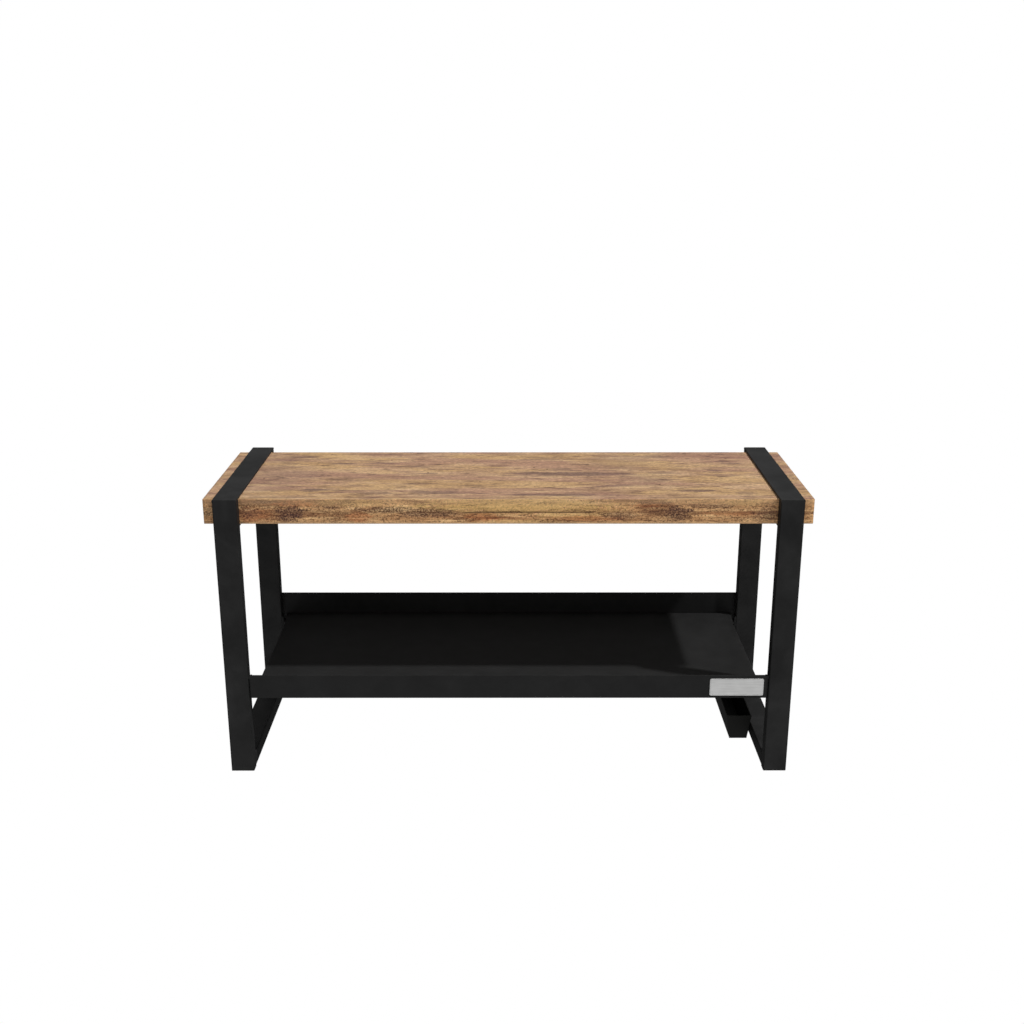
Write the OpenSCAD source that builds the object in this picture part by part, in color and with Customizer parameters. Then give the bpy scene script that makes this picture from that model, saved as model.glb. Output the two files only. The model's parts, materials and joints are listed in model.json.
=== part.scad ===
// Entryway bench. Two rectangular steel hoops carry a thick wooden board, and a
// sheet-steel shelf hangs between them. Units are millimetres, +Z is up, the front
// faces -Y, and the origin is on the floor under the middle of the bench.

/* [Bench] */
// Length of the seat board, which is the longest size of the bench
bench_length = 1016; // [900:2:1200]
// Depth over the legs, from front face to rear face
bench_depth = 345; // [300:5:420]
// Height from the floor to the top of the straps
bench_height = 498; // [440:1:560]

/* [Seat] */
// Thickness of the seat board
seat_thick = 43.5; // [30:0.5:50]
// How far the board runs past each hoop
seat_overhang = 20; // [10:1:60]
// Radius of the board's long edges
seat_edge_r = 1.2; // [0.5:0.1:3]

/* [Hoops] */
// Width of the hoop tube, along the length of the bench
tube_width = 40; // [30:1:50]
// Thickness of the legs, seen from the side
tube_depth = 20; // [15:1:30]
// Height of the floor bars
floor_bar_height = 25; // [20:1:30]
// Wall thickness of the hoop tube
tube_wall = 1.5; // [1:0.5:2]
// Outer corner radius of the hoop tube
tube_corner_r = 2; // [1.8:0.1:3]
// Thickness of the strap over the seat
strap_thick = 4; // [3:0.5:8]
// Thickness of the bearer under the seat
bearer_thick = 4; // [3:0.5:6]
// Height of the plastic flange under each leg
foot_flange = 1; // [1:0.5:4]

/* [Shelf] */
// Height of the shelf surface above the floor
shelf_height = 161; // [120:1:240]
// Height of the front rail
front_rail_height = 42; // [40:1:60]
// How far the front rail stands above the shelf surface
front_lip = 21; // [6:1:26]
// How far the rear rail stands above the shelf surface
rear_lip = 42; // [20:1:80]
// Open gap between the shelf pan's end and the hoop
shelf_end_gap = 13; // [8:1:30]
// How far each rail is set in from the outer faces of the legs
rail_setback = 2; // [1.5:0.5:5]
// Thickness of the rails
rail_thick = 3; // [2:0.5:3]
// Thickness of the shelf sheet
sheet_thick = 1.5; // [1:0.5:2]

/* [Name plate] */
// Length of the blank plate on the front rail
plate_length = 93; // [60:1:93]
// Height of the plate
plate_height = 32; // [20:1:36]
// Thickness of the plate
plate_thick = 1; // [0.8:0.1:2]
// Distance from the plate's centre to the middle of the bench
plate_x = 393; // [0:1:393]
// Corner radius of the plate
plate_corner_r = 3; // [1:0.5:6]

/* [Drip trough] */
// Length of the trough beside the right floor bar
trough_length = 200; // [80:5:260]
// Width of the trough across its open top
trough_top_width = 46; // [36:1:50]
// Width of the trough across its base
trough_base_width = 32; // [20:1:35]
// Height of the trough
trough_height = 45; // [30:1:60]

/* [Hidden] */
$fn = 48;

// How far a cutting shape runs past the face that it cuts
cut = 1;

// Colours
frame_black = [0.10, 0.10, 0.105];
shelf_black = [0.13, 0.13, 0.135];
seat_brown = [0.60, 0.46, 0.33];
plate_grey = [0.72, 0.72, 0.73];
zinc_grey = [0.55, 0.56, 0.58];
foot_black = [0.05, 0.05, 0.05];

// Which end and which side a mirrored piece belongs to
LEFT = -1;
RIGHT = 1;
FRONT = -1;
REAR = 1;

// Heights, from the floor up
strap_z = bench_height - strap_thick;
seat_z = strap_z - seat_thick;
leg_length = strap_z - foot_flange;
front_rail_z = shelf_height + front_lip - front_rail_height;
rear_rail_drop = 10;
rear_rail_z = front_rail_z - rear_rail_drop;
rear_rail_height = shelf_height + rear_lip - rear_rail_z;

// Places along X and Y
hoop_outer_x = bench_length / 2 - seat_overhang;
hoop_inner_x = hoop_outer_x - tube_width;
hoop_x = hoop_outer_x - tube_width / 2;
leg_y = (bench_depth - tube_depth) / 2;
between_legs = bench_depth - 2 * tube_depth;
rail_y = bench_depth / 2 - rail_setback;

// Corners and edges of the hoops
smallest_r = 0.3;
tube_inner_r = max(tube_corner_r - tube_wall, smallest_r);
strap_edge_r = 1;
bearer_width = tube_width - 2;

// Shelf pan, folded down at the front and rear to just above the front rail's lower edge
pan_half_length = hoop_inner_x - shelf_end_gap;
pan_depth = 2 * (rail_y - rail_thick);
pan_flange_gap = 4;
pan_flange = shelf_height - front_rail_z - pan_flange_gap;
pan_bend_r = 2 * sheet_thick;
hem_width = 10;
hem_thick = 2 * sheet_thick;
hem_edge_r = hem_thick / 2 - 0.01;
stiffener_size = [30, 12];
stiffener_x = pan_half_length / 3;

// The rear corners of the pan flare out towards the legs
flare_width = 4.5;
flare_length = 52;

// Rails are fixed to the legs through folded tabs. The front tabs stop below the top of
// the rail, and the rear tabs stop below the shelf.
rail_inner_bend_r = 0.5;
rail_bend_r = rail_thick + rail_inner_bend_r;
rail_tab = tube_depth - rail_setback;
front_tab_drop = 6;
front_tab_height = front_rail_height - front_tab_drop;
rear_tab_height = shelf_height - hem_thick - rear_rail_z;
rail_bolt_edge = 11;
rail_bolt_inset = 2;
rail_bolt_y = leg_y - rail_bolt_inset;

// How far the plate's centre is below the middle of the front rail
plate_drop = 0.5;

// M6 button-head bolts and weld nuts
bolt_r = 3;
bolt_hole_r = 3.3;
bolt_head_r = 5.25;
bolt_head_height = 3;
bolt_bevel_width = 1.5;
bolt_bevel_height = 1;
bolt_key_r = 2.3;
bolt_key_depth = 1.6;
nut_corner_r = 5.77;
nut_thick = 5;
nut_bore_r = 3.05;
bolt_end = 1.5;
bolt_length = rail_thick + tube_wall + nut_thick + bolt_end;

// Wood screws through the bearers
screw_y = between_legs / 4;
screw_r = 2.2;
screw_pilot_r = 2.3;
screw_hole_r = 2.6;
screw_head_r = 4.6;
screw_head_end_r = 3.6;
screw_head_height = 2.6;
screw_depth = 28;
screw_pilot_depth = screw_depth + 1;
screw_point = 5;
screw_tip_r = 0.4;
screw_slot = [6, 1.2, 1];

// Feet
foot_clearance = 0.1;
foot_plug_height = 15;
foot_plug_wall = 1.5;

// Trough beside the right floor bar
trough_wall = 1.5;
trough_gap = 0.5;
trough_x = hoop_inner_x - trough_gap - trough_top_width / 2;
trough_leg_gap = 4;
trough_rear_y = between_legs / 2 - trough_leg_gap;
trough_y = trough_rear_y - trough_length / 2;
trough_slope = (trough_top_width - trough_base_width) / 2 / trough_height;
block_z = [5, 19];
block_length = 18;
block_spacing = trough_length * 0.7;

// Rectangle centred on the origin, with rounded corners
module round_rect(size, r) {
    square([size[0] - 2 * r, size[1]], center = true);
    square([size[0], size[1] - 2 * r], center = true);
    for (sx = [-1, 1], sy = [-1, 1])
        translate([sx * (size[0] / 2 - r), sy * (size[1] / 2 - r)]) circle(r);
}

// Cross-section of the hoop tube, of the given thickness
module tube_section(depth) {
    difference() {
        round_rect([tube_width, depth], tube_corner_r);
        round_rect([tube_width - 2 * tube_wall, depth - 2 * tube_wall], tube_inner_r);
    }
}

// Quarter of a bent sheet, with its outer corner up and to the right of the origin
module bend_section(outer_r, thick) {
    intersection() {
        difference() {
            circle(outer_r);
            circle(outer_r - thick);
        }
        square(outer_r);
    }
}

// Turns a section drawn in X and Y into a bar that runs along X, with the section's
// X axis along Y and its Y axis along Z
module along_x(length) {
    rotate([90, 0, 90]) linear_extrude(length, center = true) children();
}

// The same along Y, with the section's X axis along X and its Y axis along Z
module along_y(length) {
    rotate([90, 0, 0]) linear_extrude(length, center = true) children();
}

// Puts a piece made for the right-hand front corner on the given side and end
module at_corner(side, end) {
    mirror([side == LEFT ? 1 : 0, 0, 0]) mirror([0, end == REAR ? 1 : 0, 0]) children();
}

// Heights of the rail bolts in a front leg and in a rear leg
function bolt_heights(end) =
    end == FRONT
        ? [front_rail_z + rail_bolt_edge, front_rail_z + front_tab_height - rail_bolt_edge]
        : [rear_rail_z + rear_tab_height / 2];

// Runs its children along X at each rail bolt of one right-hand leg. The children
// start at the leg's inner face and point outwards.
module at_rail_bolts(end) {
    for (z = bolt_heights(end))
        translate([hoop_inner_x, -rail_bolt_y, z]) rotate([0, 90, 0]) children();
}

// Seat board, with pilot holes for the screws in its underside
module seat_board() {
    color(seat_brown)
        difference() {
            translate([0, 0, seat_z + seat_thick / 2])
                along_x(bench_length) round_rect([between_legs, seat_thick], seat_edge_r);
            at_seat_screws()
                translate([0, 0, -cut]) cylinder(r = screw_pilot_r, h = screw_pilot_depth + cut);
        }
}

// Places its children under the seat board at each screw, pointing up
module at_seat_screws() {
    for (side = [LEFT, RIGHT], end = [FRONT, REAR])
        translate([side * hoop_x, end * screw_y, seat_z]) children();
}

// One leg of a hoop, with the rail bolt holes through its inner wall
module leg(side, end) {
    color(frame_black)
        at_corner(side, end)
            difference() {
                translate([hoop_x, -leg_y, foot_flange])
                    linear_extrude(leg_length) tube_section(tube_depth);
                at_rail_bolts(end)
                    translate([0, 0, -cut]) cylinder(r = bolt_hole_r, h = tube_wall + 2 * cut);
            }
}

// Bottom member of a hoop, welded between its two legs
module floor_bar(side) {
    color(frame_black)
        translate([side * hoop_x, 0, foot_flange + floor_bar_height / 2])
            along_y(between_legs) tube_section(floor_bar_height);
}

// Flat strap that closes a hoop over the seat board
module top_strap(side) {
    color(frame_black)
        translate([side * hoop_x, 0, bench_height - strap_thick / 2])
            along_y(bench_depth) round_rect([tube_width, strap_thick], strap_edge_r);
}

// Flat bar that carries the seat board, welded between the two legs of a hoop
module seat_bearer(side) {
    color(frame_black)
        difference() {
            translate([side * hoop_x, 0, seat_z - bearer_thick / 2])
                cube([bearer_width, between_legs, bearer_thick], center = true);
            at_seat_screws()
                translate([0, 0, -bearer_thick - cut])
                    cylinder(r = screw_hole_r, h = bearer_thick + 2 * cut);
        }
}

// Plastic foot: a flange under the leg and a hollow plug inside its tube
module foot(side, end) {
    plug = [for (s = [tube_width, tube_depth]) s - 2 * (tube_wall + foot_clearance)];
    color(foot_black)
        at_corner(side, end)
            translate([hoop_x, -leg_y, 0]) {
                linear_extrude(foot_flange) round_rect([tube_width, tube_depth], tube_corner_r);
                translate([0, 0, foot_flange])
                    linear_extrude(foot_plug_height)
                        difference() {
                            round_rect(plug, tube_inner_r);
                            square([for (s = plug) s - 2 * foot_plug_wall], center = true);
                        }
            }
}

// Plan of a rail where it has tabs: a long web with a tab folded back along the leg at
// each end. The web's outer face is on the X axis and the tabs point along +Y.
module tabbed_rail_plan() {
    translate([-hoop_inner_x + rail_bend_r, 0])
        square([2 * (hoop_inner_x - rail_bend_r), rail_thick]);
    for (side = [0, 1])
        mirror([side, 0]) {
            translate([hoop_inner_x - rail_bend_r, rail_bend_r])
                mirror([0, 1]) bend_section(rail_bend_r, rail_thick);
            translate([hoop_inner_x - rail_thick, rail_bend_r])
                square([rail_thick, rail_tab - rail_bend_r]);
        }
}

// Plan of a rail above its tabs: the web alone
module plain_rail_plan() {
    translate([-hoop_inner_x, 0]) square([2 * hoop_inner_x, rail_thick]);
}

// A rail that starts at height z, with clearance holes for its bolts. Its web is on the
// outer side of the legs and its tabs point towards the shelf, up to the tab height.
module rail(end, z, height, tab_height) {
    color(shelf_black)
        difference() {
            at_corner(RIGHT, end)
                translate([0, -rail_y, z]) {
                    linear_extrude(tab_height) tabbed_rail_plan();
                    translate([0, 0, tab_height])
                        linear_extrude(height - tab_height) plain_rail_plan();
                }
            for (side = [LEFT, RIGHT])
                at_corner(side, end)
                    at_rail_bolts(end)
                        translate([0, 0, -rail_thick - cut])
                            cylinder(r = bolt_hole_r, h = rail_thick + 2 * cut);
        }
}

module front_rail() { rail(FRONT, front_rail_z, front_rail_height, front_tab_height); }
module rear_rail() { rail(REAR, rear_rail_z, rear_rail_height, rear_tab_height); }

// Cross-section of the shelf pan, with its surface on the X axis
module pan_section() {
    half = pan_depth / 2;
    translate([-half + pan_bend_r, -sheet_thick])
        square([pan_depth - 2 * pan_bend_r, sheet_thick]);
    for (end = [0, 1])
        mirror([end, 0]) {
            translate([half - pan_bend_r, -pan_bend_r]) bend_section(pan_bend_r, sheet_thick);
            translate([half - sheet_thick, -pan_flange])
                square([sheet_thick, pan_flange - pan_bend_r]);
        }
}

// Piece that widens the end of the pan towards one corner
module corner_flare() {
    edge = hem_width / 2;
    translate([pan_half_length - edge, -pan_depth / 2 + pan_bend_r, -hem_thick])
        linear_extrude(hem_thick)
            polygon([[0, 0], [edge + flare_width, 0], [edge, flare_length], [0, flare_length]]);
}

// Shelf pan: a sheet folded down at the front and rear, with a hem along each end
module shelf_pan() {
    color(shelf_black)
        translate([0, 0, shelf_height]) {
            along_x(2 * (pan_half_length - hem_thick / 2)) pan_section();
            for (side = [LEFT, RIGHT])
                translate([side * (pan_half_length - hem_width / 2), 0, -hem_thick / 2])
                    along_y(pan_depth - 2 * pan_bend_r)
                        round_rect([hem_width, hem_thick], hem_edge_r);
            for (side = [LEFT, RIGHT])
                at_corner(side, REAR) corner_flare();
        }
}

// Channel under the shelf pan, between its two folded edges
module shelf_stiffener(side) {
    inner = [stiffener_size[0] - 2 * sheet_thick, stiffener_size[1] - sheet_thick];
    color(shelf_black)
        translate([side * stiffener_x, 0, shelf_height - sheet_thick])
            along_y(pan_depth - 2 * pan_bend_r)
                difference() {
                    translate([-stiffener_size[0] / 2, -stiffener_size[1]]) square(stiffener_size);
                    translate([-inner[0] / 2, -inner[1]]) square([inner[0], inner[1] + cut]);
                }
}

// Four wood screws, driven up through the bearers
module seat_screws() {
    color(zinc_grey)
        at_seat_screws() {
            translate([0, 0, -bearer_thick - screw_head_height])
                difference() {
                    cylinder(r1 = screw_head_end_r, r2 = screw_head_r, h = screw_head_height);
                    for (turn = [0, 90])
                        rotate([0, 0, turn]) cube(screw_slot, center = true);
                }
            translate([0, 0, -bearer_thick])
                cylinder(r = screw_r, h = bearer_thick + screw_depth - screw_point);
            translate([0, 0, screw_depth - screw_point])
                cylinder(r1 = screw_r, r2 = screw_tip_r, h = screw_point);
        }
}

// Button-head bolt along +Z, with the underside of its head on the rail tab
module rail_bolt() {
    head_z = -rail_thick - bolt_head_height;
    difference() {
        union() {
            translate([0, 0, head_z + bolt_bevel_height])
                cylinder(r = bolt_head_r, h = bolt_head_height - bolt_bevel_height);
            translate([0, 0, head_z])
                cylinder(r1 = bolt_head_r - bolt_bevel_width, r2 = bolt_head_r, h = bolt_bevel_height);
            translate([0, 0, -rail_thick]) cylinder(r = bolt_r, h = bolt_length);
        }
        translate([0, 0, head_z - cut])
            cylinder(r = bolt_key_r, h = bolt_key_depth + cut, $fn = 6);
    }
}

module rail_bolts(end) {
    color(zinc_grey)
        for (side = [LEFT, RIGHT])
            at_corner(side, end) at_rail_bolts(end) rail_bolt();
}

module front_rail_bolts() { rail_bolts(FRONT); }
module rear_rail_bolts() { rail_bolts(REAR); }

// Hexagonal nuts welded inside the legs behind the rail bolt holes
module weld_nuts() {
    color(zinc_grey)
        for (side = [LEFT, RIGHT], end = [FRONT, REAR])
            at_corner(side, end)
                at_rail_bolts(end)
                    translate([0, 0, tube_wall])
                        difference() {
                            cylinder(r = nut_corner_r, h = nut_thick, $fn = 6);
                            translate([0, 0, -cut])
                                cylinder(r = nut_bore_r, h = nut_thick + 2 * cut);
                        }
}

// Blank plate on the front face of the front rail
module name_plate() {
    color(plate_grey)
        translate([plate_x, -rail_y, front_rail_z + front_rail_height / 2 - plate_drop])
            rotate([90, 0, 0])
                linear_extrude(plate_thick)
                    round_rect([plate_length, plate_height], plate_corner_r);
}

// Outline of the trough seen from the front, inset by the given wall thickness
module trough_outline(inset, floor_z, top_z) {
    function half_width(z) = trough_base_width / 2 - inset + trough_slope * z;
    polygon([
        [-half_width(floor_z), floor_z],
        [half_width(floor_z), floor_z],
        [half_width(top_z), top_z],
        [-half_width(top_z), top_z]
    ]);
}

// Open-topped trough that stands on the floor inside the right-hand hoop
module drip_trough() {
    color(frame_black)
        translate([trough_x, trough_y, 0])
            difference() {
                along_y(trough_length) trough_outline(0, 0, trough_height);
                along_y(trough_length - 2 * trough_wall)
                    trough_outline(trough_wall, trough_wall, trough_height + cut);
            }
}

// Two blocks that fill the gap between the trough and the floor bar, where they are welded
module trough_packing_blocks() {
    wall_x = [for (z = block_z) trough_x + trough_base_width / 2 + trough_slope * z];
    color(frame_black)
        for (end = [FRONT, REAR])
            translate([0, trough_y + end * block_spacing / 2, 0])
                along_y(block_length)
                    polygon([
                        [wall_x[0], block_z[0]],
                        [hoop_inner_x, block_z[0]],
                        [hoop_inner_x, block_z[1]],
                        [wall_x[1], block_z[1]]
                    ]);
}

module left_front_leg() { leg(LEFT, FRONT); }
module left_rear_leg() { leg(LEFT, REAR); }
module left_floor_bar() { floor_bar(LEFT); }
module left_top_strap() { top_strap(LEFT); }
module left_seat_bearer() { seat_bearer(LEFT); }
module right_front_leg() { leg(RIGHT, FRONT); }
module right_rear_leg() { leg(RIGHT, REAR); }
module right_floor_bar() { floor_bar(RIGHT); }
module right_top_strap() { top_strap(RIGHT); }
module right_seat_bearer() { seat_bearer(RIGHT); }
module left_front_foot() { foot(LEFT, FRONT); }
module left_rear_foot() { foot(LEFT, REAR); }
module right_front_foot() { foot(RIGHT, FRONT); }
module right_rear_foot() { foot(RIGHT, REAR); }
module left_shelf_stiffener() { shelf_stiffener(LEFT); }
module right_shelf_stiffener() { shelf_stiffener(RIGHT); }

seat_board();
left_front_leg();
left_rear_leg();
left_floor_bar();
left_top_strap();
left_seat_bearer();
right_front_leg();
right_rear_leg();
right_floor_bar();
right_top_strap();
right_seat_bearer();
left_front_foot();
left_rear_foot();
right_front_foot();
right_rear_foot();
front_rail();
rear_rail();
shelf_pan();
left_shelf_stiffener();
right_shelf_stiffener();
seat_screws();
front_rail_bolts();
rear_rail_bolts();
weld_nuts();
name_plate();
drip_trough();
trough_packing_blocks();
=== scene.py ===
import json
import math
import random

import bmesh
import bpy
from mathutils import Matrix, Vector, noise


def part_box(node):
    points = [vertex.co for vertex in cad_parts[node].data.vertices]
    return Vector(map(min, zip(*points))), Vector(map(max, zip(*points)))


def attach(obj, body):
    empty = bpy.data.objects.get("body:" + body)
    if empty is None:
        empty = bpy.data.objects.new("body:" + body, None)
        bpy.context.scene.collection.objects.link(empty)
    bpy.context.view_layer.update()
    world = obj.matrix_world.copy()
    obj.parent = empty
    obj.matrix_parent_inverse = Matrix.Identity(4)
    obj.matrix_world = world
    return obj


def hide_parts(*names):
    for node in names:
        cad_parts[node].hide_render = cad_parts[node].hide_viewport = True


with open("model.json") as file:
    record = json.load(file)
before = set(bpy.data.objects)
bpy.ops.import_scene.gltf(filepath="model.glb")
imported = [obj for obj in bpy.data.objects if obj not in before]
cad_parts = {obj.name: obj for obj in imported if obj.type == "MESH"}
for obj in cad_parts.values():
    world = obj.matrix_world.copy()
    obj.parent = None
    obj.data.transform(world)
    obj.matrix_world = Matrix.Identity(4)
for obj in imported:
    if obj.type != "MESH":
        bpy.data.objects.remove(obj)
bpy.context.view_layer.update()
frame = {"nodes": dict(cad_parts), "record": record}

# Entryway bench: a wooden board held by two black steel hoops, over a sheet-steel shelf.
# The CAD nodes keep their shapes and get materials here. The board and the blank plate
# are replaced with detailed meshes, and weld beads are added in the hoops' inner corners.
# Units are metres, the front faces -Y, and the floor is z = 0.

MM = 0.001


# ---------------------------------------------------------------- shader helpers

def srgb(red, green, blue):
    """A display colour, 0 to 255, as the linear colour that a shader takes."""
    def linear(value):
        value /= 255
        return value / 12.92 if value <= 0.04045 else ((value + 0.055) / 1.055) ** 2.4
    return (linear(red), linear(green), linear(blue), 1.0)


class Shader:
    """A new material's node tree, with one method for each kind of node it needs.

    Each method returns the new node's output socket. An argument may be a number, a
    colour or another node's output."""

    def __init__(self, name):
        self.material = bpy.data.materials.new(name)
        self.material.use_nodes = True
        self.tree = self.material.node_tree
        self.surface = self.tree.nodes["Principled BSDF"]

    def feed(self, socket, value):
        if isinstance(value, bpy.types.NodeSocket):
            self.tree.links.new(value, socket)
        else:
            socket.default_value = value

    def place(self):
        """Where the point is in the object, in metres."""
        return self.tree.nodes.new("ShaderNodeTexCoord").outputs["Object"]

    def foil(self):
        """Where the point is on the printed foil, in metres along and across the grain."""
        node = self.tree.nodes.new("ShaderNodeUVMap")
        node.uv_map = FOIL
        return node.outputs["UV"]

    def stretched(self, vector, scale, shift=(0, 0, 0)):
        node = self.tree.nodes.new("ShaderNodeMapping")
        node.inputs["Scale"].default_value = scale
        node.inputs["Location"].default_value = shift
        self.feed(node.inputs["Vector"], vector)
        return node.outputs["Vector"]

    def noise(self, vector, scale=1.0, detail=2.0, roughness=0.5, distortion=0.0):
        node = self.tree.nodes.new("ShaderNodeTexNoise")
        self.feed(node.inputs["Vector"], vector)
        node.inputs["Scale"].default_value = scale
        node.inputs["Detail"].default_value = detail
        node.inputs["Roughness"].default_value = roughness
        node.inputs["Distortion"].default_value = distortion
        return node.outputs["Fac"]

    def grain(self, foil, along, across, shift=(0, 0), **settings):
        """Noise on the foil, of so many waves in a metre along and across the grain."""
        return self.noise(self.stretched(foil, (along, across, 1), (*shift, 0)), **settings)

    def cells(self, vector, scale):
        """Distance to the nearest cell's middle, and a random number for each cell."""
        node = self.tree.nodes.new("ShaderNodeTexVoronoi")
        self.feed(node.inputs["Vector"], vector)
        node.inputs["Scale"].default_value = scale
        split = self.tree.nodes.new("ShaderNodeSeparateColor")
        self.tree.links.new(node.outputs["Color"], split.inputs["Color"])
        return node.outputs["Distance"], split.outputs["Red"]

    def math(self, operation, first, second=0.0, third=0.0):
        node = self.tree.nodes.new("ShaderNodeMath")
        node.operation = operation
        for socket, value in zip(node.inputs, (first, second, third)):
            self.feed(socket, value)
        return node.outputs["Value"]

    def split(self, vector):
        node = self.tree.nodes.new("ShaderNodeSeparateXYZ")
        self.feed(node.inputs["Vector"], vector)
        return node.outputs["X"], node.outputs["Y"], node.outputs["Z"]

    def step(self, value, start, end):
        """0 where value is at start, 1 where it is at end, and smooth between them."""
        node = self.tree.nodes.new("ShaderNodeMapRange")
        node.interpolation_type = "SMOOTHSTEP"
        self.feed(node.inputs["Value"], value)
        node.inputs["From Min"].default_value = start
        node.inputs["From Max"].default_value = end
        return node.outputs["Result"]

    def between(self, value, low, high):
        """A noise value, 0 to 1, spread over the range from low to high."""
        node = self.tree.nodes.new("ShaderNodeMapRange")
        self.feed(node.inputs["Value"], value)
        node.inputs["From Min"].default_value = 0.25
        node.inputs["From Max"].default_value = 0.75
        node.inputs["To Min"].default_value = low
        node.inputs["To Max"].default_value = high
        return node.outputs["Result"]

    def ramp(self, value, *stops):
        """A colour from a list of (place, colour) stops."""
        node = self.tree.nodes.new("ShaderNodeValToRGB")
        self.feed(node.inputs["Fac"], value)
        elements = node.color_ramp.elements
        for extra in stops[2:]:
            elements.new(extra[0])
        for element, (place, colour) in zip(elements, sorted(stops)):
            element.position = place
            element.color = colour
        return node.outputs["Color"]

    def mix(self, under, over, amount, mode="MIX"):
        node = self.tree.nodes.new("ShaderNodeMix")
        node.data_type = "RGBA"
        node.blend_type = mode
        self.feed(node.inputs["Factor"], amount)
        self.feed(node.inputs[6], under)
        self.feed(node.inputs[7], over)
        return node.outputs[2]

    def stain(self, under, over, mask, strength):
        """The colour under, with the colour over laid on it as strongly as the mask says."""
        return self.mix(under, over, self.math("MULTIPLY", mask, strength))

    def bump(self, height, distance):
        node = self.tree.nodes.new("ShaderNodeBump")
        node.inputs["Distance"].default_value = distance
        self.feed(node.inputs["Height"], height)
        return node.outputs["Normal"]

    def finish(self, colour, roughness, normal, metallic=0.0, specular=0.5):
        self.feed(self.surface.inputs["Base Color"], colour)
        self.feed(self.surface.inputs["Roughness"], roughness)
        self.feed(self.surface.inputs["Normal"], normal)
        self.surface.inputs["Metallic"].default_value = metallic
        self.surface.inputs["Specular IOR Level"].default_value = specular
        return self.material


def grey(value):
    """A neutral colour, as a factor on each of its channels."""
    return (value, value, value, 1)


# ---------------------------------------------------------------- wood

FOIL = "foil"
FOIL_REPEAT = 0.645          # the printed pattern comes round again after this length
EDGE_FOIL_SHIFT = 2.0        # the edge foil is read this far along, so that it differs
END_FOIL_SHIFT = 1.2         # and the ends, the rear and the underside further along
REAR_FOIL_SHIFT = 5.0
UNDERSIDE_FOIL_SHIFT = 8.0

# Marks of the print on the board's face: middle along and across the grain, half
# length, half width, and strength
FACE_SMUDGES = (
    (0.115, 0.000, 0.120, 0.014, 0.80),
    (-0.120, -0.114, 0.060, 0.010, 0.75),
    (0.085, -0.128, 0.095, 0.008, 0.80),
    (-0.334, -0.100, 0.030, 0.010, 0.95),
    (-0.385, -0.005, 0.060, 0.026, 0.45),
    (-0.300, 0.070, 0.030, 0.005, 0.75),
    (-0.232, -0.117, 0.042, 0.009, 0.60),
    (0.262, 0.118, 0.040, 0.010, 0.50),
    (0.052, 0.098, 0.050, 0.004, 0.60),
    (-0.165, -0.063, 0.024, 0.003, 0.90),
    (0.316, -0.103, 0.042, 0.008, 0.85),
    (-0.377, -0.141, 0.058, 0.005, 0.60),
    (0.274, 0.008, 0.028, 0.010, 0.55),
    (-0.391, 0.117, 0.038, 0.010, 0.55),
    (0.403, -0.117, 0.020, 0.009, 0.60),
    (-0.395, 0.070, 0.022, 0.008, 0.60),
    (-0.225, 0.073, 0.036, 0.005, 0.60),
    (0.293, -0.142, 0.024, 0.004, 0.65),
    (0.268, -0.040, 0.018, 0.005, 0.65),
    (0.407, 0.071, 0.024, 0.005, 0.70),
    (-0.146, 0.003, 0.024, 0.004, 0.60),
    (0.368, 0.023, 0.014, 0.004, 0.75),
    (-0.430, -0.020, 0.075, 0.160, 0.28),
    (0.205, 0.085, 0.060, 0.060, 0.26),
    (0.235, -0.030, 0.045, 0.045, 0.30),
)

# Marks of the print on the front edge: middle along the board and height over its
# underside, half length, half height, and strength
EDGE_KNOTS = (
    (-0.363, 0.0190, 0.024, 0.0150, 1.00),
    (-0.140, 0.0195, 0.055, 0.0085, 0.90),
    (-0.200, 0.0250, 0.055, 0.0050, 0.75),
    (-0.300, 0.0290, 0.024, 0.0030, 0.75),
    (0.185, 0.0150, 0.030, 0.0065, 0.75),
    (0.335, 0.0310, 0.050, 0.0040, 0.70),
    (0.430, 0.0170, 0.026, 0.0130, 0.60),
    (-0.405, 0.0385, 0.024, 0.0024, 0.95),
    (0.245, 0.0375, 0.030, 0.0026, 0.90),
    (-0.445, 0.0200, 0.030, 0.0120, 0.60),
    (-0.500, 0.0220, 0.018, 0.0110, 0.55),
)
EDGE_RED = (
    (-0.250, 0.0120, 0.022, 0.0095, 0.85),
    (-0.045, 0.0110, 0.036, 0.0080, 0.90),
    (0.130, 0.0100, 0.060, 0.0050, 0.80),
    (0.240, 0.0340, 0.044, 0.0050, 0.75),
    (-0.356, 0.0350, 0.040, 0.0055, 0.80),
    (-0.430, 0.0150, 0.040, 0.0140, 0.70),
    (0.370, 0.0180, 0.050, 0.0050, 0.60),
)
EDGE_GOLD = (
    (0.010, 0.0310, 0.170, 0.0140, 1.00),
    (-0.270, 0.0370, 0.070, 0.0060, 0.70),
    (0.390, 0.0370, 0.040, 0.0060, 0.60),
    (0.110, 0.0200, 0.070, 0.0140, 0.60),
    (0.020, 0.0040, 0.080, 0.0040, 0.60),
)
EDGE_BROWN = (
    (-0.400, 0.0180, 0.070, 0.0300, 0.90),
    (0.262, 0.0200, 0.046, 0.0300, 0.65),
    (-0.270, 0.0150, 0.075, 0.0140, 0.45),
    (0.410, 0.0120, 0.070, 0.0160, 0.35),
    (-0.305, 0.0330, 0.060, 0.0080, 0.65),
    (0.372, 0.0300, 0.036, 0.0120, 0.50),
)
# A mark fades between these squared distances from its middle, with 1 at its outline
BLOT_FULL = 0.35
BLOT_GONE = 1.25

CRACK = (0.034, 0.0203, 0.112)       # middle, height over the underside, half length
CRACK_WAVER = 0.5 * MM               # how far the crack strays up and down
RIM_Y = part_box("seat_board")[0].y    # front edge of the top


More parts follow.
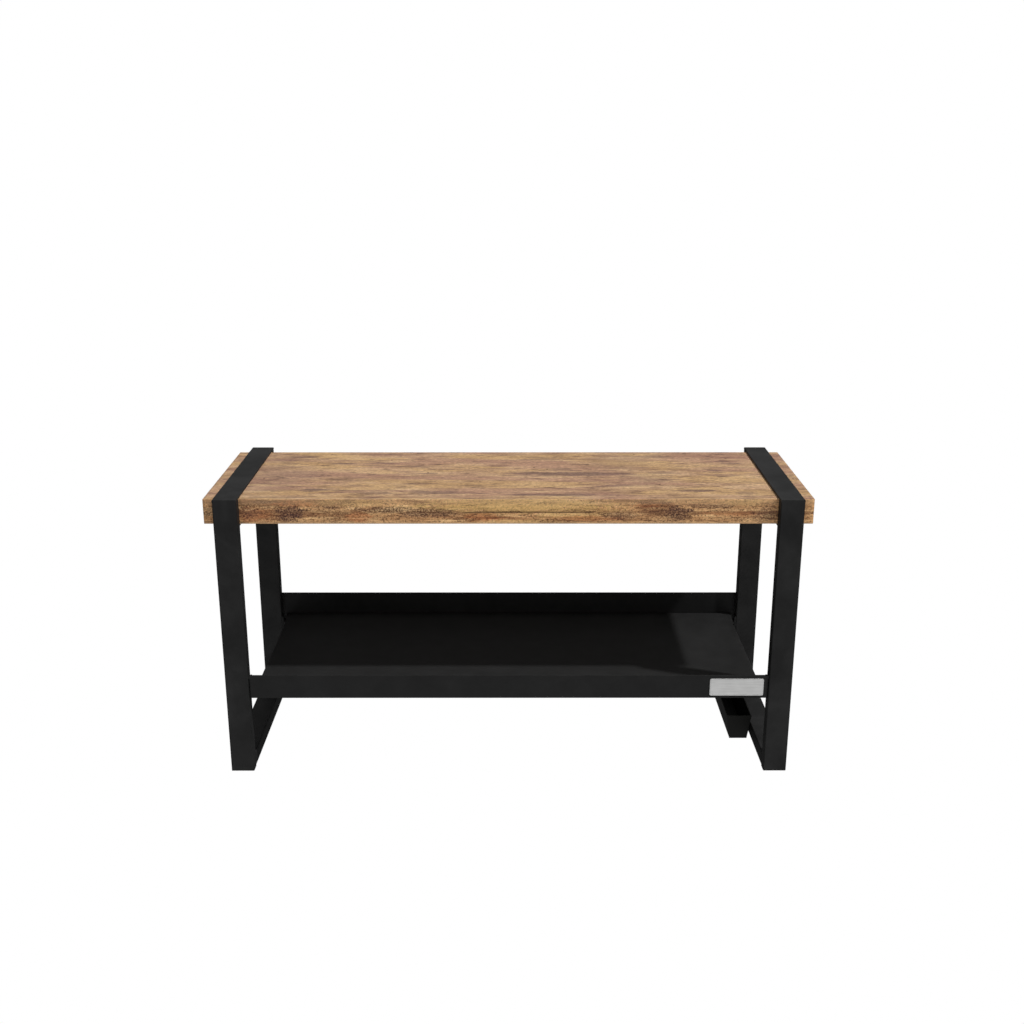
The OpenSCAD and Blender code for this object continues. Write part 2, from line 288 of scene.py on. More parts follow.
def blots(s, along, across, marks, warp):
    """How strongly a list of soft-edged marks covers a point, 0 to 1."""
    total = None
    for centre, height, half_length, half_width, strength in marks:
        x = s.math("MULTIPLY_ADD", along, 1 / half_length, -centre / half_length)
        y = s.math("MULTIPLY_ADD", across, 1 / half_width, -height / half_width)
        reach = s.math("ADD", s.math("POWER", s.math("ABSOLUTE", x), 2.0),
                       s.math("POWER", s.math("ABSOLUTE", y), 2.0))
        reach = s.math("ADD", reach, warp)
        cover = s.math("MULTIPLY", s.step(reach, BLOT_GONE, BLOT_FULL), strength)
        total = cover if total is None else s.math("MAXIMUM", total, cover)
    return total


def grain_height(s, lines, dashes, pores):
    """Relief of the embossed foil: fine lines along the grain, with the marks sunk."""
    height = s.math("MULTIPLY_ADD", lines, 0.5, 0.5)
    height = s.math("SUBTRACT", height, s.math("MULTIPLY", dashes, 0.7))
    return s.math("SUBTRACT", height, s.math("MULTIPLY", pores, 0.5))


def face_ground(s, foil, streak):
    """Colour of the plank print before its marks: brown streaks, some golden, some rosy."""
    cloud = s.grain(foil, 6, 30, detail=6, roughness=0.62, distortion=0.6)
    shade = s.math("MULTIPLY_ADD", cloud, 0.55, s.math("MULTIPLY", streak, 0.45))
    colour = s.ramp(
        shade,
        (0.36, srgb(126, 96, 76)),
        (0.44, srgb(164, 130, 102)),
        (0.52, srgb(186, 152, 119)),
        (0.63, srgb(210, 178, 138)))
    hue = s.grain(foil, 4, 22, (7, 4), detail=4, roughness=0.6, distortion=0.6)
    colour = s.stain(colour, srgb(202, 166, 108), s.step(hue, 0.50, 0.60), 0.40)
    return s.stain(colour, srgb(168, 126, 110), s.step(hue, 0.49, 0.40), 0.42)


def face_smudges(s, foil, along, across):
    """Dark clouds of the print: those in their own places, and fainter ones between."""
    warp = s.between(s.grain(foil, 30, 130, detail=6, roughness=0.75), -1.3, 1.3)
    marks = blots(s, along, across, FACE_SMUDGES, warp)
    patch = s.grain(foil, 9, 48, (11, 5), detail=6, roughness=0.68, distortion=0.4)
    return s.math("MAXIMUM", s.math("MULTIPLY", s.step(patch, 0.55, 0.66), 0.60), marks)


def face_lines(s, foil, streak):
    """Thin wavering lines along the grain, where the streaks are dark."""
    ridge = s.grain(foil, 3.2, 24, (5, 2), detail=4, roughness=0.55, distortion=0.2)
    ridge = s.math("ABSOLUTE", s.math("SUBTRACT", ridge, 0.5))
    return s.math("MULTIPLY", s.step(ridge, 0.018, 0.004), s.step(streak, 0.56, 0.44))


def rim_highlight_and_dark_line(s, colour, foil, across):
    """A painted highlight along the top's front edge, in stretches, where the rounded edge catches
    the lamp, and a darker line behind it.
    """
    stretch = s.step(s.grain(foil, 3.4, 0, (1, 8), detail=2), 0.45, 0.53)
    rim = s.math("MULTIPLY", s.step(across, RIM_Y + 7 * MM, RIM_Y + 4 * MM), stretch)
    behind = s.math("MULTIPLY", s.step(across, RIM_Y + 17 * MM, RIM_Y + 12 * MM), stretch)
    behind = s.math("MULTIPLY", behind, s.step(across, RIM_Y + 4 * MM, RIM_Y + 8 * MM))
    colour = s.stain(colour, srgb(136, 104, 84), behind, 0.32)
    # Painted highlight: the front rim of the top is lightened as though it caught the lamp
    return s.stain(colour, srgb(226, 198, 162), rim, 0.12)


def wood_face():
    """Printed plank foil on the board's top and underside."""
    s = Shader("wood_face")
    foil = s.foil()
    along, across, _ = s.split(foil)
    streak = s.grain(foil, 17, 85, (2, 3), detail=5, roughness=0.66, distortion=0.2)
    fine = s.grain(foil, 50, 700, (3, 1), detail=3, roughness=0.6)
    fleck = s.grain(foil, 150, 260, (6, 1), detail=4, roughness=0.7)
    dashes = s.step(s.grain(foil, 26, 150, (2, 9), detail=3, roughness=0.6), 0.59, 0.67)
    lines = face_lines(s, foil, streak)
    distance, chance = s.cells(s.stretched(foil, (1, 0.6, 1)), 42)
    specks = s.math("MULTIPLY", s.step(distance, 0.11, 0.04), s.step(chance, 0.82, 0.84))

    colour = face_ground(s, foil, streak)
    colour = s.stain(colour, srgb(96, 75, 74), face_smudges(s, foil, along, across), 0.78)
    colour = s.stain(colour, srgb(84, 62, 52), dashes, 0.75)
    colour = s.stain(colour, srgb(108, 80, 64), lines, 0.60)
    colour = s.stain(colour, srgb(84, 54, 40), specks, 0.80)
    fibres = s.ramp(fine, (0.3, (0.80, 0.78, 0.76, 1)), (0.7, grey(1.18)))
    colour = s.mix(colour, fibres, 0.7, "MULTIPLY")
    grit = s.ramp(fleck, (0.34, (0.70, 0.67, 0.65, 1)), (0.66, grey(1.28)))
    colour = s.mix(colour, grit, 1.0, "MULTIPLY")
    # Painted highlight along the top's front edge, with a darker line behind it
    colour = rim_highlight_and_dark_line(s, colour, foil, across)

    roughness = s.between(streak, 0.50, 0.64)
    relief = grain_height(s, s.math("ADD", streak, s.math("MULTIPLY", fine, 0.6)), dashes, lines)
    return s.finish(colour, roughness, s.bump(relief, 0.25 * MM), specular=0.25)


def edge_zones(s, colour, along, across, warp, gold, speckle):
    """The edge print's golden, brown and red zones, and its knots."""
    half_speckle = s.math("MULTIPLY_ADD", speckle, 0.55, 0.25)
    colour = s.stain(colour, srgb(228, 188, 118), gold, 0.65)
    brown = blots(s, along, across, EDGE_BROWN, warp)
    colour = s.mix(colour, srgb(112, 72, 50), s.math("MULTIPLY", brown, half_speckle))
    red = blots(s, along, across, EDGE_RED, warp)
    colour = s.stain(colour, srgb(188, 108, 60), red, 0.58)
    knots = blots(s, along, across, EDGE_KNOTS, warp)
    again = blots(s, s.math("SUBTRACT", along, FOIL_REPEAT), across, EDGE_KNOTS[:1], warp)
    knots = s.math("MAXIMUM", knots, again)
    colour = s.stain(colour, srgb(120, 84, 70), knots, 0.45)
    return s.stain(colour, srgb(58, 38, 36), s.math("MULTIPLY", knots, speckle), 0.86)


def edge_flaws(s, colour, foil, cloud, dark, gold):
    """Dark patches, splits and fissures along the grain, and pits, fewer where it is gold."""
    colour = s.stain(colour, srgb(88, 54, 36), dark, 0.90)
    ridge = s.grain(foil, 9, 60, (3, 5), detail=6, roughness=0.68, distortion=0.2)
    ridge = s.math("ABSOLUTE", s.math("SUBTRACT", ridge, 0.5))
    splits = s.math("MULTIPLY", s.step(ridge, 0.016, 0.004), s.step(cloud, 0.56, 0.46))
    colour = s.stain(colour, srgb(70, 42, 28), splits, 0.75)
    fissures = s.step(s.grain(foil, 34, 420, (4, 8), detail=3, roughness=0.6), 0.60, 0.70)
    colour = s.stain(colour, srgb(84, 54, 38), fissures, 0.60)
    pits = s.step(s.grain(foil, 300, 300, (9, 9), detail=3), 0.57, 0.65)
    pits = s.math("MULTIPLY", pits, s.math("MULTIPLY_ADD", gold, -0.60, 1.0))
    return s.stain(colour, srgb(74, 42, 28), pits, 0.75)


def crack_lines(s, foil, along, across):
    """The long crack, which wavers a little, and the soft seam that runs on past it."""
    middle, height, half_length = CRACK
    waver = s.between(s.grain(foil, 18, 0, detail=3), -CRACK_WAVER, CRACK_WAVER)
    off = s.math("ABSOLUTE", s.math("SUBTRACT", s.math("ADD", across, waver), height))
    reach = s.math("ABSOLUTE", s.math("SUBTRACT", along, middle))
    crack = s.math("MULTIPLY", s.step(off, 1.0 * MM, 0.3 * MM),
                   s.step(reach, half_length, half_length * 0.9))
    return crack, s.step(off, 3.4 * MM, 0.4 * MM)


def wood_edge():
    """Printed foil on the board's edges: stronger colour, knots and a long dark crack."""
    s = Shader("wood_edge")
    foil = s.foil()
    along, across, _ = s.split(s.stretched(foil, (1, 1, 1), (-EDGE_FOIL_SHIFT, 0, 0)))
    cloud = s.grain(foil, 7, 60, detail=6, roughness=0.68, distortion=0.5)
    streak = s.grain(foil, 24, 240, (1, 6), detail=5, roughness=0.72)
    grit = s.grain(foil, 210, 280, detail=5, roughness=0.80)
    warp = s.between(s.grain(foil, 50, 150, (3, 3), detail=6, roughness=0.8), -1.6, 1.6)
    speckle = s.step(s.grain(foil, 330, 400, (2, 7), detail=3, roughness=0.7), 0.45, 0.55)
    gold = blots(s, along, across, EDGE_GOLD, warp)
    patch = s.grain(foil, 16, 75, (8, 2), detail=6, roughness=0.75)
    dark = s.math("MULTIPLY", s.step(patch, 0.50, 0.62),
                  s.math("MULTIPLY_ADD", speckle, 0.75, 0.15))
    crack, seam = crack_lines(s, foil, along, across)

    colour = s.ramp(
        s.math("MULTIPLY_ADD", cloud, 0.55, s.math("MULTIPLY", streak, 0.45)),
        (0.38, srgb(132, 86, 58)),
        (0.45, srgb(190, 140, 94)),
        (0.52, srgb(222, 172, 119)),
        (0.61, srgb(252, 208, 150)))
    colour = edge_zones(s, colour, along, across, warp, gold, speckle)
    colour = edge_flaws(s, colour, foil, cloud, dark, gold)
    colour = s.stain(colour, srgb(110, 74, 50), seam, 0.40)
    colour = s.stain(colour, srgb(50, 32, 24), crack, 0.92)
    grains = s.ramp(
        grit,
        (0.36, (0.48, 0.42, 0.38, 1)),
        (0.50, grey(1.04)),
        (0.64, (1.30, 1.32, 1.34, 1)))
    colour = s.mix(colour, grains, s.math("MULTIPLY_ADD", gold, -0.45, 1.0), "MULTIPLY")
    # The colour is lighter towards the edge's upper and lower rims
    upper = s.math("MULTIPLY", s.step(across, 30 * MM, 37 * MM), 0.30)
    lower = s.math("MULTIPLY", s.step(across, 5 * MM, 1.5 * MM), 0.45)
    colour = s.mix(colour, srgb(218, 180, 136), s.math("MAXIMUM", upper, lower))

    roughness = s.between(streak, 0.50, 0.66)
    relief = grain_height(s, s.math("MULTIPLY_ADD", grit, 0.4, streak), dark, crack)
    return s.finish(colour, roughness, s.bump(relief, 0.3 * MM), specular=0.25)


# ---------------------------------------------------------------- coated steel, plastic, metal

def powder_coat(name, colour, roughness, peel, patchiness):
    """Black powder coat: fine orange peel, broad and fine mottle and a little dust."""
    s = Shader(name)
    place = s.place()
    mottle = s.noise(place, 38, detail=4, roughness=0.6)
    grain = s.noise(place, 2600, detail=1)
    skin = s.noise(place, 620, detail=2, roughness=0.5)
    dust = s.noise(place, 150, detail=5, roughness=0.75)
    sweep = s.noise(place, 13, detail=3, roughness=0.55, distortion=0.5)
    base = s.mix(colour, s.ramp(mottle, (0.32, grey(0.86)), (0.68, grey(1.16))), 1.0, "MULTIPLY")
    patches = s.ramp(sweep, (0.36, grey(1 - patchiness)), (0.64, grey(1 + patchiness)))
    base = s.mix(base, patches, 1.0, "MULTIPLY")
    base = s.stain(base, srgb(92, 92, 90), s.step(dust, 0.66, 0.86), 0.22)
    rough = s.math("ADD", s.between(mottle, roughness - 0.05, roughness + 0.05),
                   s.math("MULTIPLY", s.step(dust, 0.6, 0.85), 0.10))
    height = s.math("MULTIPLY_ADD", skin, 0.7, s.math("MULTIPLY", grain, 0.3))
    return s.finish(base, rough, s.bump(height, peel), specular=0.12)


def moulded_plastic():
    """Matt black plastic of the feet, with a spark-eroded grain."""
    s = Shader("moulded_plastic")
    place = s.place()
    grain = s.noise(place, 1500, detail=3, roughness=0.6)
    scuff = s.noise(s.stretched(place, (220, 220, 60)), detail=4, roughness=0.7)
    colour = s.ramp(scuff, (0.35, srgb(20, 20, 20)), (0.75, srgb(46, 45, 43)))
    return s.finish(colour, s.between(grain, 0.62, 0.82), s.bump(grain, 0.08 * MM))


def brushed_metal(name, dark, light, roughness, stretch=(14, 900, 900)):
    """Metal with a fine grain, brushed along X unless it is stretched another way."""
    s = Shader(name)
    place = s.place()
    hairs = s.noise(s.stretched(place, stretch), detail=4, roughness=0.65)
    cloud = s.noise(place, 60, detail=3)
    shade = s.math("MULTIPLY_ADD", hairs, 0.8, s.math("MULTIPLY", cloud, 0.2))
    colour = s.ramp(shade, (0.35, dark), (0.65, light))
    rough = s.between(hairs, roughness - 0.06, roughness + 0.08)
    return s.finish(colour, rough, s.bump(hairs, 0.05 * MM), metallic=1.0)


def black_oxide():
    """Satin black finish of the bolts, worn a little brighter in patches."""
    s = Shader("black_oxide")
    place = s.place()
    wear = s.noise(place, 420, detail=5, roughness=0.7)
    colour = s.ramp(wear, (0.40, srgb(34, 34, 36)), (0.72, srgb(74, 72, 70)))
    return s.finish(colour, s.between(wear, 0.36, 0.55), s.bump(wear, 0.06 * MM), metallic=0.7)


# ---------------------------------------------------------------- mesh helpers

def add_piece(name, mesh, materials):
    """Makes an object of a finished mesh. It rides the bench's one body."""
    data = bpy.data.meshes.new(name)
    mesh.to_mesh(data)
    mesh.free()
    for material in materials:
        data.materials.append(material)
    piece = bpy.data.objects.new(name, data)
    bpy.context.scene.collection.objects.link(piece)
    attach(piece, "root")
    return piece


def loft(mesh, rows):
    """Joins a row of closed loops with smooth faces, and closes both ends with flat ones."""
    for first, second in zip(rows, rows[1:]):
        for i in range(len(first)):
            j = (i + 1) % len(first)
            mesh.faces.new((first[i], first[j], second[j], second[i]))
    mesh.faces.new(rows[0])
    mesh.faces.new(rows[-1])
    bmesh.ops.recalc_face_normals(mesh, faces=mesh.faces)
    for face in mesh.faces:
        face.smooth = len(face.verts) == 4


def rounded_loop(half_width, half_height, radius, width_steps, height_steps, corner_steps):
    """Points round a rectangle with rounded corners, anticlockwise from the lower left,
    with the straight sides cut into equal steps. Each is (width, height)."""
    inner_w = half_width - radius
    inner_h = half_height - radius
    corners = (
        (-inner_w, -inner_h, 180),
        (inner_w, -inner_h, 270),
        (inner_w, inner_h, 0),
        (-inner_w, inner_h, 90))
    points = []
    for index, (cx, cy, start) in enumerate(corners):
        for i in range(corner_steps + 1):
            angle = math.radians(start + 90 * i / corner_steps)
            points.append((cx + radius * math.cos(angle), cy + radius * math.sin(angle)))
        nx, ny, next_start = corners[(index + 1) % 4]
        angle = math.radians(next_start)
        first = points[-1]
        last = (nx + radius * math.cos(angle), ny + radius * math.sin(angle))
        steps = width_steps if index % 2 == 0 else height_steps
        for i in range(1, steps):
            t = i / steps
            points.append((
                first[0] + t * (last[0] - first[0]),
                first[1] + t * (last[1] - first[1])))
    return points


# ---------------------------------------------------------------- seat board

BOARD_SKIN = 0.30 * MM       # greatest depth of the scraped relief
BOARD_EDGE_R = 1.2 * MM      # radius of the long edges
BOARD_END_EASE = 0.7 * MM    # chamfer at the two ends
BOARD_STATIONS = 260         # steps along the board
CRACK_DEPTH = 0.7 * MM
CRACK_HALF_WIDTH = 0.8 * MM
CRACK_TAPER = 0.4            # 1 would fade the crack evenly, and less keeps it deep for longer
FACING = 0.7                 # how squarely a face must look along an axis to count as that side


def crack_height(x):
    """The crack's height over the underside at a place along the board."""
    return CRACK[1] + CRACK_WAVER * noise.noise(Vector((x * 22, 0.4, 0.0)))


def grain_wave(x, y, z, along, across):
    """Smooth noise, -1 to 1, of so many waves in a metre along and across the grain."""
    return noise.noise(Vector((x * along, y * across, z * across)))


def board_relief(x, y, z, low):
    """How far the board's surface is sunk at a point: shallow waves along the grain,
    and the open crack in the front edge."""
    wave = grain_wave(x, y, z, 3, 42)
    ripple = grain_wave(x, y, z, 11, 160)
    depth = BOARD_SKIN * (0.5 + 0.38 * wave + 0.12 * ripple)
    if y < 0:
        middle, _, half_length = CRACK
        fade = max(0.0, 1 - abs(x - middle) / half_length) ** CRACK_TAPER
        off = (z - low - crack_height(x)) / CRACK_HALF_WIDTH
        depth += CRACK_DEPTH * fade * math.exp(-off * off)
    return depth


def outward(y, z, half_y, half_z):
    """Direction out of the board's rounded outline at a point of it."""
    over_y = max(0.0, abs(y) - half_y + BOARD_EDGE_R)
    over_z = max(0.0, abs(z) - half_z + BOARD_EDGE_R)
    if not (over_y or over_z):
        return Vector((0, 0))
    return Vector((math.copysign(over_y, y), math.copysign(over_z, z))).normalized()


def board_stations(low_x, high_x):
    """Places along the board and how far its outline is drawn in there."""
    first = low_x + BOARD_END_EASE
    length = high_x - low_x - 2 * BOARD_END_EASE
    between = [(first + length * i / BOARD_STATIONS, 0.0) for i in range(BOARD_STATIONS + 1)]
    return [(low_x, BOARD_END_EASE)] + between + [(high_x, BOARD_END_EASE)]


def foil_place(point, normal, low):
    """Where a point of the board lies on its foil. Each side has its own stretch of it."""
    if abs(normal.x) > FACING:
        return point.y + EDGE_FOIL_SHIFT + math.copysign(END_FOIL_SHIFT, normal.x), point.z - low
    if normal.y > FACING:
        return point.x + EDGE_FOIL_SHIFT + REAR_FOIL_SHIFT, point.z - low
    if normal.y < -FACING:
        return point.x + EDGE_FOIL_SHIFT, point.z - low
    if normal.z > 0:
        return point.x, point.y
    return point.x + UNDERSIDE_FOIL_SHIFT, point.y


def lay_foil(mesh, low):
    """Gives each side of the board its kind of foil and its place on the print."""
    foil = mesh.loops.layers.uv.new(FOIL)
    mesh.normal_update()
    for face in mesh.faces:
        face.material_index = 0 if abs(face.normal.z) > FACING else 1
        for corner in face.loops:
            corner[foil].uv = foil_place(corner.vert.co, face.normal, low)


def seat_board(face_material, edge_material):
    """The board as a fine mesh: eased long edges, scraped relief and the open crack."""
    low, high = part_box("seat_board")
    half_y = (high.y - low.y) / 2
    half_z = (high.z - low.z) / 2
    middle_z = (high.z + low.z) / 2
    outline = rounded_loop(
        half_y, half_z, BOARD_EDGE_R, width_steps=72, height_steps=26, corner_steps=4)
    mesh = bmesh.new()
    rows = []
    for x, inset in board_stations(low.x, high.x):
        row = []
        for y, z in outline:
            depth = board_relief(x, y, z + middle_z, low.z) + inset
            out = outward(y, z, half_y, half_z)
            row.append(mesh.verts.new((x, y - out.x * depth, z + middle_z - out.y * depth)))
        rows.append(row)
    loft(mesh, rows)
    lay_foil(mesh, low.z)
    piece = add_piece("seat_board_wood", mesh, (face_material, edge_material))
    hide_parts("seat_board")


# ---------------------------------------------------------------- name plate

PLATE_CORNER_R = 3 * MM
PLATE_LEAST_R = 0.6 * MM     # least corner radius of the section's inner lines
# Section of the plate's rolled rim: inset from the outline in metres, and height as a
# share of the plate's thickness
PLATE_RIM = (
    (0.0, 0.0),
    (0.0, 0.7),
    (0.12 * MM, 0.9),
    (0.35 * MM, 1.0),
    (1.5 * MM, 1.0),
    (1.8 * MM, 0.9),
    (2.1 * MM, 0.72),
)


def name_plate(material):
    """Blank plate with a raised rolled rim, brushed along its length."""
    low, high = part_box("name_plate")
    centre = (low + high) / 2
    half_x = (high.x - low.x) / 2
    half_z = (high.z - low.z) / 2
    thick = high.y - low.y
    mesh = bmesh.new()
    rows = []
    for inset, share in PLATE_RIM:
        corner = max(PLATE_CORNER_R - inset, PLATE_LEAST_R)
        outline = rounded_loop(
            half_x - inset, half_z - inset, corner, width_steps=24, height_steps=8, corner_steps=8)
        y = high.y - thick * share
        rows.append([mesh.verts.new((centre.x + x, y, centre.z + z)) for x, z in outline])
    loft(mesh, rows)
    piece = add_piece("name_plate_blank", mesh, (material,))
    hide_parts("name_plate")


# ---------------------------------------------------------------- weld beads

BEAD_PITCH = 2.2 * MM        # spacing of the ripples along a bead
BEAD_STEP = 0.3 * MM         # distance between a bead's cross-sections
BEAD_ARC_STEPS = 6           # steps across a bead
BEAD_MARGIN = 3 * MM         # how far a bead stops short of the tube's sides
BAR_BEAD = 3.2 * MM          # size of the beads on the floor bar
BEARER_BEAD = 3.0 * MM       # size of the beads under the bearer
BAR_SEED = 31                # where the random numbers of each kind of bead start
BEARER_SEED = 52
BEAD_BOW = 0.7               # how far the ripples bow along the bead, in radians
SWELL_RATE = 180             # swells to the metre
SWELL_SHIFT = 3.7            # how far apart the beads read the noise of their swells
# Shares of a bead's size
BEAD_VALLEY = 0.84           # reach of the valleys between the ripples
BEAD_RIPPLE = 0.14           # height of the ripples over the valleys
BEAD_SWELL = 0.08            # slow change along the bead
BEAD_FLAT = 0.16             # how much the face is flattened in its middle
BEAD_END = 0.45              # size of its two ends
BEAD_GROWTH = 6              # growth away from the ends, per share of the bead's length


def bead_reach(travelled, angle, phase, seed):
    """Distance from the corner to a bead's surface, as a share of the bead's size."""
    bow = BEAD_BOW * math.sin(2 * angle)
    ripple = abs(math.sin(math.pi * travelled / BEAD_PITCH + phase + bow))
    swell = BEAD_SWELL * noise.noise(Vector((travelled * SWELL_RATE, seed * SWELL_SHIFT, 0)))
    face = 1 - BEAD_FLAT * math.sin(2 * angle)
    return face * (BEAD_VALLEY + swell + BEAD_RIPPLE * ripple)


def weld_bead(name, start, end, side_a, side_b, size, material, seed):
    """A rippled fillet from start to end, filling the corner between the directions
    side_a and side_b."""
    start, side_a, side_b = Vector(start), Vector(side_a), Vector(side_b)
    run = Vector(end) - start
    count = int(run.length / BEAD_STEP)
    phase = random.Random(seed).uniform(0, math.tau)
    mesh = bmesh.new()
    rows = []
    for i in range(count + 1):
        t = i / count
        corner = start + run * t
        taper = min(1.0, BEAD_END + BEAD_GROWTH * min(t, 1 - t))
        row = [mesh.verts.new(corner)]
        for k in range(BEAD_ARC_STEPS + 1):
            angle = math.pi / 2 * k / BEAD_ARC_STEPS
            outwards = side_a * math.cos(angle) + side_b * math.sin(angle)
            reach = size * taper * bead_reach(t * run.length, angle, phase, seed)
            row.append(mesh.verts.new(corner + reach * outwards))
        rows.append(row)
    loft(mesh, rows)
    add_piece(name, mesh, (material,))


def hoop_welds(side, material):
    """Beads in a hoop's inner corners: on top of the floor bar and under the bearer."""
    bar_low, bar_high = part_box(side + "_floor_bar")
    bearer_low, bearer_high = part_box(side + "_seat_bearer")
    for end, sign in (("front", -1), ("rear", 1)):
        y = bar_low.y if sign < 0 else bar_high.y
        inward = (0, -sign, 0)
        seed = sign + (10 if side == "right" else 0)
        weld_bead(
            f"{side}_{end}_bar_weld",
            (bar_low.x + BEAD_MARGIN, y, bar_high.z),
            (bar_high.x - BEAD_MARGIN, y, bar_high.z),
            inward, (0, 0, 1), BAR_BEAD, material, BAR_SEED + seed)
        weld_bead(
            f"{side}_{end}_bearer_weld",
            (bearer_low.x + BEAD_MARGIN, y, bearer_low.z),
            (bearer_high.x - BEAD_MARGIN, y, bearer_low.z),
            inward, (0, 0, -1), BEARER_BEAD, material, BEARER_SEED + seed)


# ---------------------------------------------------------------- CAD nodes

def dress(slot_name, material):
    """Gives the CAD nodes of one material slot their finish."""
    for part in frame["record"]["subparts"]:
        if part["material_slot"] != slot_name:
            continue
        piece = frame["nodes"][part["node"]]
        if not piece.material_slots:
            piece.data.materials.append(material)
        for slot in piece.material_slots:
            slot.material = material


# ---------------------------------------------------------------- studio

STUDIO_FLOOR_R = 14.0
STUDIO_WALLS_R = 13.9
FLOOR_DROP = 0.2 * MM             # how far the floor lies under the feet


def white_card():
    """A glowing white studio surface."""
    material = bpy.data.materials.new("studio_white")
    material.use_nodes = True
    tree = material.node_tree
    tree.nodes.clear()
    glow = tree.nodes.new("ShaderNodeEmission")
    glow.inputs["Color"].default_value = grey(1.0)
    output = tree.nodes.new("ShaderNodeOutputMaterial")
    tree.links.new(glow.outputs["Emission"], output.inputs["Surface"])
    return material


def studio_piece(name, mesh, card):
    """A piece of the studio that only the camera sees: it sheds no light and no shadow."""
    data = bpy.data.meshes.new(name)
    mesh.to_mesh(data)
    mesh.free()
    data.materials.append(card)
    piece = bpy.data.objects.new(name, data)
    piece.visible_diffuse = False
    piece.visible_glossy = False
    piece.visible_transmission = False
    piece.visible_shadow = False
    bpy.context.scene.collection.objects.link(piece)
    return piece


def studio():
    """White floor and white walls. The light that falls on the bench comes from the
    lamp and the sky."""
    card = white_card()
    mesh = bmesh.new()
    bmesh.ops.create_circle(mesh, cap_ends=True, segments=96, radius=STUDIO_FLOOR_R)
    floor = studio_piece("studio_floor", mesh, card)
    floor.location.z = -FLOOR_DROP
    mesh = bmesh.new()
    bmesh.ops.create_uvsphere(mesh, u_segments=64, v_segments=32, radius=STUDIO_WALLS_R)
    studio_piece("studio_walls", mesh, card)


# ---------------------------------------------------------------- light

LAMP_SIDE = (0.648, -0.235)       # the lamp's place along X and Y, per unit up
LAMP_STRENGTH = 2.65
LAMP_ANGLE = 2.4                  # degrees, how wide the lamp looks
# Brightness of the sky: height of the direction, -1 straight down to 1 straight up, then
# the light from the front, from the rear and from the sides at that height
SKY = (
    (-1.0, 0.30, 0.30, 0.30),
    (-0.4, 1.05, 0.05, 0.15),
    (0.0, 1.35, 0.32, 0.03),
    (0.35, 0.22, 0.34, 0.03),
    (0.7, 0.05, 0.06, 0.22),
    (1.0, 1.00, 1.00, 1.00),
)
FRONT, REAR, SIDE = 1, 2, 3       # the columns of SKY


def lamp():
    data = bpy.data.lights.new("key", "SUN")
    data.energy = LAMP_STRENGTH
    data.angle = math.radians(LAMP_ANGLE)
    piece = bpy.data.objects.new("key", data)
    towards = Vector((*LAMP_SIDE, 1.0))
    piece.rotation_mode = "QUATERNION"
    piece.rotation_quaternion = towards.to_track_quat("Z", "Y")
    bpy.context.scene.collection.objects.link(piece)


def brightest_sky():
    return max(max(stop[1:]) for stop in SKY)


def sky_share(tree, value, start, end, shape="SMOOTHSTEP"):
    """0 where value is at start, 1 where it is at end."""
    node = tree.nodes.new("ShaderNodeMapRange")
    node.interpolation_type = shape
    node.inputs["From Min"].default_value = start
    node.inputs["From Max"].default_value = end
    tree.links.new(value, node.inputs["Value"])
    return node.outputs["Result"]


def sky_ramp(tree, height, column):
    """The light of one part of the sky by height, as a share of the brightest."""
    node = tree.nodes.new("ShaderNodeValToRGB")
    tree.links.new(height, node.inputs["Fac"])
    for _ in SKY[2:]:
        node.color_ramp.elements.new(0.5)
    for element, stop in zip(node.color_ramp.elements, SKY):
        element.position = (stop[0] + 1) / 2
        element.color = grey(stop[column] / brightest_sky())
    return node.outputs["Color"]


def sky_mix(tree, share, first, second):
    node = tree.nodes.new("ShaderNodeMix")
    node.data_type = "RGBA"
    tree.links.new(share, node.inputs["Factor"])
    tree.links.new(first, node.inputs[6])
    tree.links.new(second, node.inputs[7])
    return node.outputs[2]


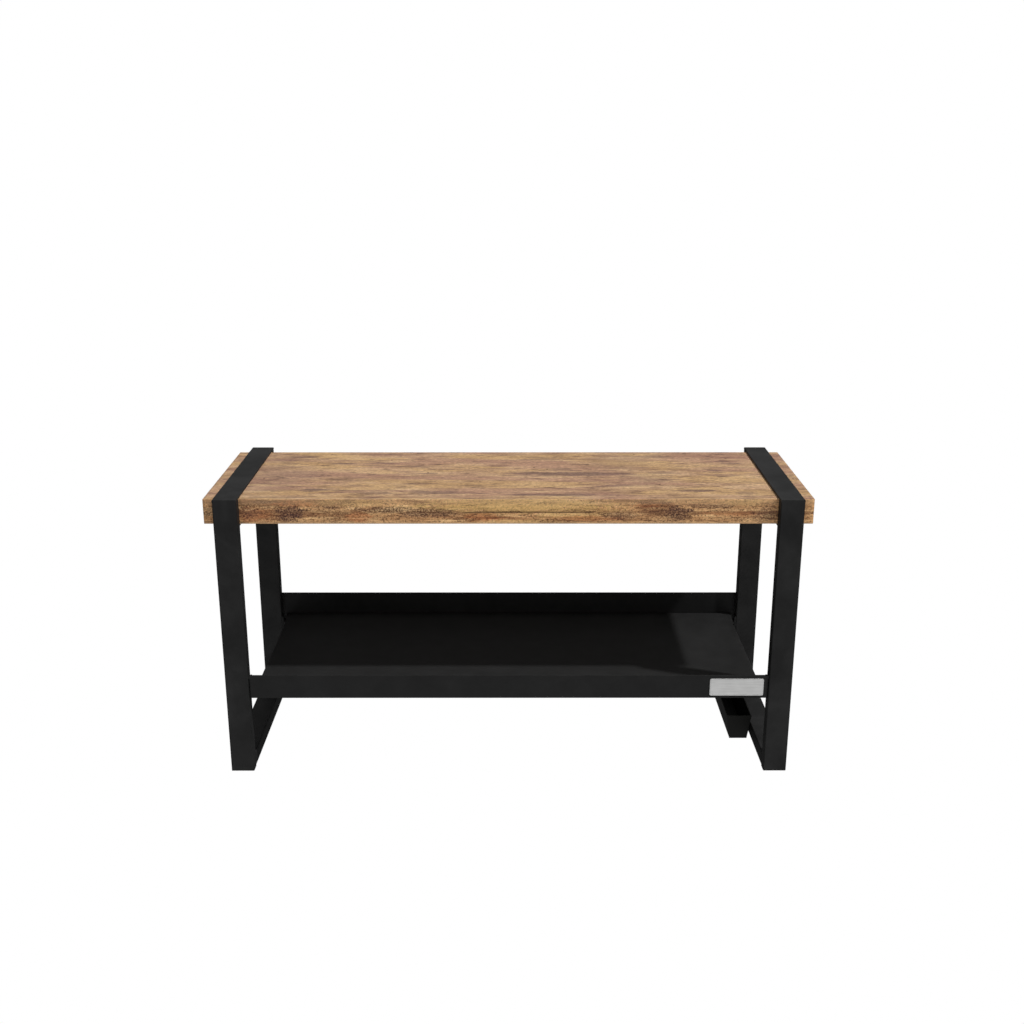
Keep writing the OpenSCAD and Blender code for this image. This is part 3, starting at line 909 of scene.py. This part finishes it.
def sky():
    """Soft light from all round, as SKY says."""
    world = bpy.data.worlds.new("studio_sky")
    bpy.context.scene.world = world
    world.use_nodes = True
    tree = world.node_tree
    split = tree.nodes.new("ShaderNodeSeparateXYZ")
    direction = tree.nodes.new("ShaderNodeTexCoord").outputs["Generated"]
    tree.links.new(direction, split.inputs["Vector"])
    sideways = tree.nodes.new("ShaderNodeMath")
    sideways.operation = "ABSOLUTE"
    tree.links.new(split.outputs["X"], sideways.inputs[0])
    height = sky_share(tree, split.outputs["Z"], -1.0, 1.0, "LINEAR")
    rearward = sky_share(tree, split.outputs["Y"], -0.5, 0.5)
    sideward = sky_share(tree, sideways.outputs["Value"], 0.3, 0.8)
    light = sky_mix(tree, rearward, sky_ramp(tree, height, FRONT), sky_ramp(tree, height, REAR))
    light = sky_mix(tree, sideward, light, sky_ramp(tree, height, SIDE))
    background = tree.nodes["Background"]
    background.inputs["Strength"].default_value = brightest_sky()
    tree.links.new(light, background.inputs["Color"])


# ---------------------------------------------------------------- camera

CAMERA_PLACE = (0.0039, -2.1294, 1.0963)
CAMERA_LOOK_DOWN = 17.54          # degrees
CAMERA_TURN = 0.05                # degrees to the right
CAMERA_LENS = 43.83               # millimetres
CAMERA_SENSOR = 36                # millimetres


def camera():
    """The viewer's place: in front, well above the seat, looking down."""
    data = bpy.data.cameras.new("camera")
    data.sensor_width = CAMERA_SENSOR
    data.lens = CAMERA_LENS
    view = bpy.data.objects.new("camera", data)
    view.location = CAMERA_PLACE
    view.rotation_euler = (math.radians(90 - CAMERA_LOOK_DOWN), 0, math.radians(-CAMERA_TURN))
    bpy.context.scene.collection.objects.link(view)
    bpy.context.scene.camera = view


def main():
    frame_coat = powder_coat(
        "frame_coat", srgb(36, 36, 36), roughness=0.55, peel=0.05 * MM, patchiness=0.27)
    shelf_coat = powder_coat(
        "shelf_coat", srgb(34, 34, 34), roughness=0.60, peel=0.06 * MM, patchiness=0.09)
    trough_paint = powder_coat(
        "trough_paint", srgb(15, 15, 13), roughness=0.50, peel=0.04 * MM, patchiness=0.15)
    zinc_plate = brushed_metal(
        "zinc_plate", srgb(150, 152, 156), srgb(196, 197, 198), roughness=0.34,
        stretch=(300, 300, 300))
    silver_plate = brushed_metal(
        "brushed_plate", srgb(178, 178, 177), srgb(210, 210, 209), roughness=0.45)
    dress("frame_black", frame_coat)
    dress("shelf_black", shelf_coat)
    dress("trough_black", trough_paint)
    dress("foot_black", moulded_plastic())
    dress("bolt_black", black_oxide())
    dress("nut_zinc", zinc_plate)
    seat_board(wood_face(), wood_edge())
    name_plate(silver_plate)
    for side in ("left", "right"):
        hoop_welds(side, frame_coat)
    studio()
    lamp()
    sky()
    camera()
    scene = bpy.context.scene
    scene.view_settings.view_transform = "Standard"
    scene.view_settings.look = "None"


main()
